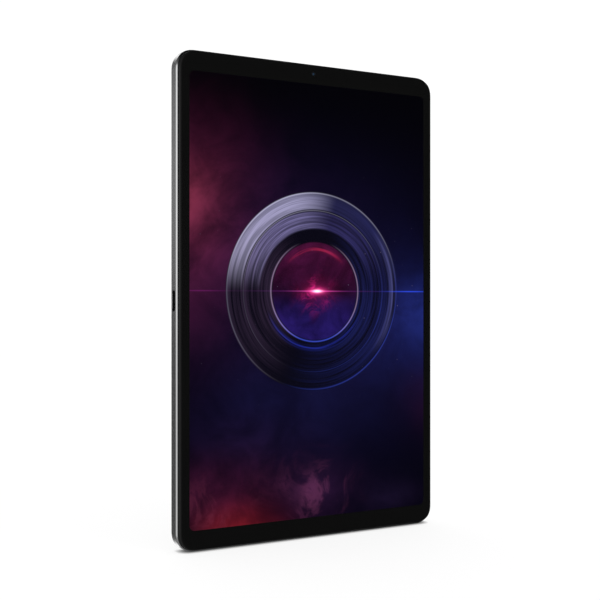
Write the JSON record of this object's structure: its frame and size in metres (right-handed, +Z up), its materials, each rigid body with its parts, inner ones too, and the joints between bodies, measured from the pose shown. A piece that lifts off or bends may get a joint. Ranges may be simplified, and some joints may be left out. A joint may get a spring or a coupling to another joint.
{
  "type": "tablet computer",
  "caption": "Slim slate tablet computer with a metal rear shell, edge-to-edge cover glass, side and bottom USB-C sockets, side buttons and a card tray.",
  "frame": {"origin": "middle of the bottom short edge of the housing, half-way through the body's thickness", "axes": "+X to the viewer's right across the width, +Y from the screen to the back, +Z up the long side; the screen faces -Y"},
  "size_m": [0.1298, 0.0085, 0.2085],
  "materials": {
    "housing_metal": "satin",
    "antenna_plastic": "satin",
    "black_plastic": "matte",
    "cover_glass": "gloss",
    "screen": "gloss",
    "clear_plastic": "gloss",
    "white_plastic": "matte",
    "steel": "satin",
    "dark_steel": "satin",
    "copper": "satin",
    "circuit_board": "satin",
    "flex_circuit": "satin",
    "battery_pouch": "satin",
    "speaker_membrane": "matte",
    "wire_mesh": "matte",
    "camera_glass": "gloss"
  },
  "bodies": {
    "tablet_body": {"rear_housing": "housing_metal", "top_antenna_window": "antenna_plastic", "bottom_antenna_window": "antenna_plastic", "display_frame": "black_plastic", "cover_glass": "cover_glass", "optical_adhesive": "clear_plastic", "lcd_panel": "screen", "optical_films": "white_plastic", "light_guide_plate": "clear_plastic", "led_strip": "flex_circuit", "reflector_sheet": "white_plastic", "backlight_tray": "steel", "display_ribbon": "flex_circuit", "mid_plate": "steel", "mid_plate_screw_1": "dark_steel", "mid_plate_screw_2": "dark_steel", "mid_plate_screw_3": "dark_steel", "mid_plate_screw_4": "dark_steel", "mid_plate_screw_5": "dark_steel", "mid_plate_screw_6": "dark_steel", "battery_cell_left": "battery_pouch", "battery_cell_right": "battery_pouch", "battery_protection_board": "circuit_board", "main_board": "circuit_board", "soc_shield": "steel", "power_shield": "steel", "heat_spreader": "copper", "main_ribbon": "flex_circuit", "side_usb_ribbon": "flex_circuit", "side_usb_shell": "steel", "side_usb_tongue": "black_plastic", "side_usb_board": "circuit_board", "bottom_usb_shell": "steel", "bottom_usb_tongue": "black_plastic", "bottom_usb_board": "circuit_board", "key_flex": "flex_circuit", "card_reader": "steel", "tray_ejector": "dark_steel", "top_speaker_box": "black_plastic", "top_speaker_mesh": "wire_mesh", "bottom_speaker_box": "black_plastic", "bottom_speaker_mesh": "wire_mesh", "haptic_motor_case": "steel", "rear_camera_ring": "dark_steel", "rear_camera_glass": "camera_glass", "rear_camera_body": "black_plastic", "flash_lens": "clear_plastic", "flash_led": "white_plastic", "front_camera": "black_plastic", "top_antenna": "copper", "bottom_antenna": "copper", "top_microphone": "steel", "bottom_microphone": "steel"},
    "power_button": {"power_button": "housing_metal"},
    "volume_rocker": {"volume_rocker": "housing_metal"},
    "card_tray": {"card_tray": "housing_metal"},
    "haptic_weight": {"haptic_motor_weight": "dark_steel"},
    "focus_lens": {"rear_camera_lens": "black_plastic"},
    "top_diaphragm": {"top_speaker_diaphragm": "speaker_membrane"},
    "bottom_diaphragm": {"bottom_speaker_diaphragm": "speaker_membrane"}
  },
  "joints": [
    {"name": "power_button_press", "type": "slide", "parent": "tablet_body", "child": "power_button", "axis": [-1, 0, 0], "range_m": [0, 0.00025], "stiffness_N_per_m": 4000},
    {"name": "volume_rocker_tilt", "type": "hinge", "parent": "tablet_body", "child": "volume_rocker", "pos_m": [0.0625, 0.0001, 0.163], "axis": [0, 1, 0], "range_deg": [-1, 1], "stiffness_Nm_per_rad": 1},
    {"name": "card_tray_slide", "type": "slide", "parent": "tablet_body", "child": "card_tray", "axis": [1, 0, 0], "range_m": [0, 0.019]},
    {"name": "haptic_weight_slide", "type": "slide", "parent": "tablet_body", "child": "haptic_weight", "axis": [1, 0, 0], "range_m": [-0.0005, 0.0005], "stiffness_N_per_m": 1100},
    {"name": "camera_focus_slide", "type": "slide", "parent": "tablet_body", "child": "focus_lens", "axis": [0, 1, 0], "range_m": [0, 0.0003], "stiffness_N_per_m": 170},
    {"name": "top_diaphragm_stroke", "type": "slide", "parent": "tablet_body", "child": "top_diaphragm", "axis": [0, 1, 0], "range_m": [-0.0003, 0.0003], "stiffness_N_per_m": 1000},
    {"name": "bottom_diaphragm_stroke", "type": "slide", "parent": "tablet_body", "child": "bottom_diaphragm", "axis": [0, 1, 0], "range_m": [-0.0003, 0.0003], "stiffness_N_per_m": 1000}
  ]
}
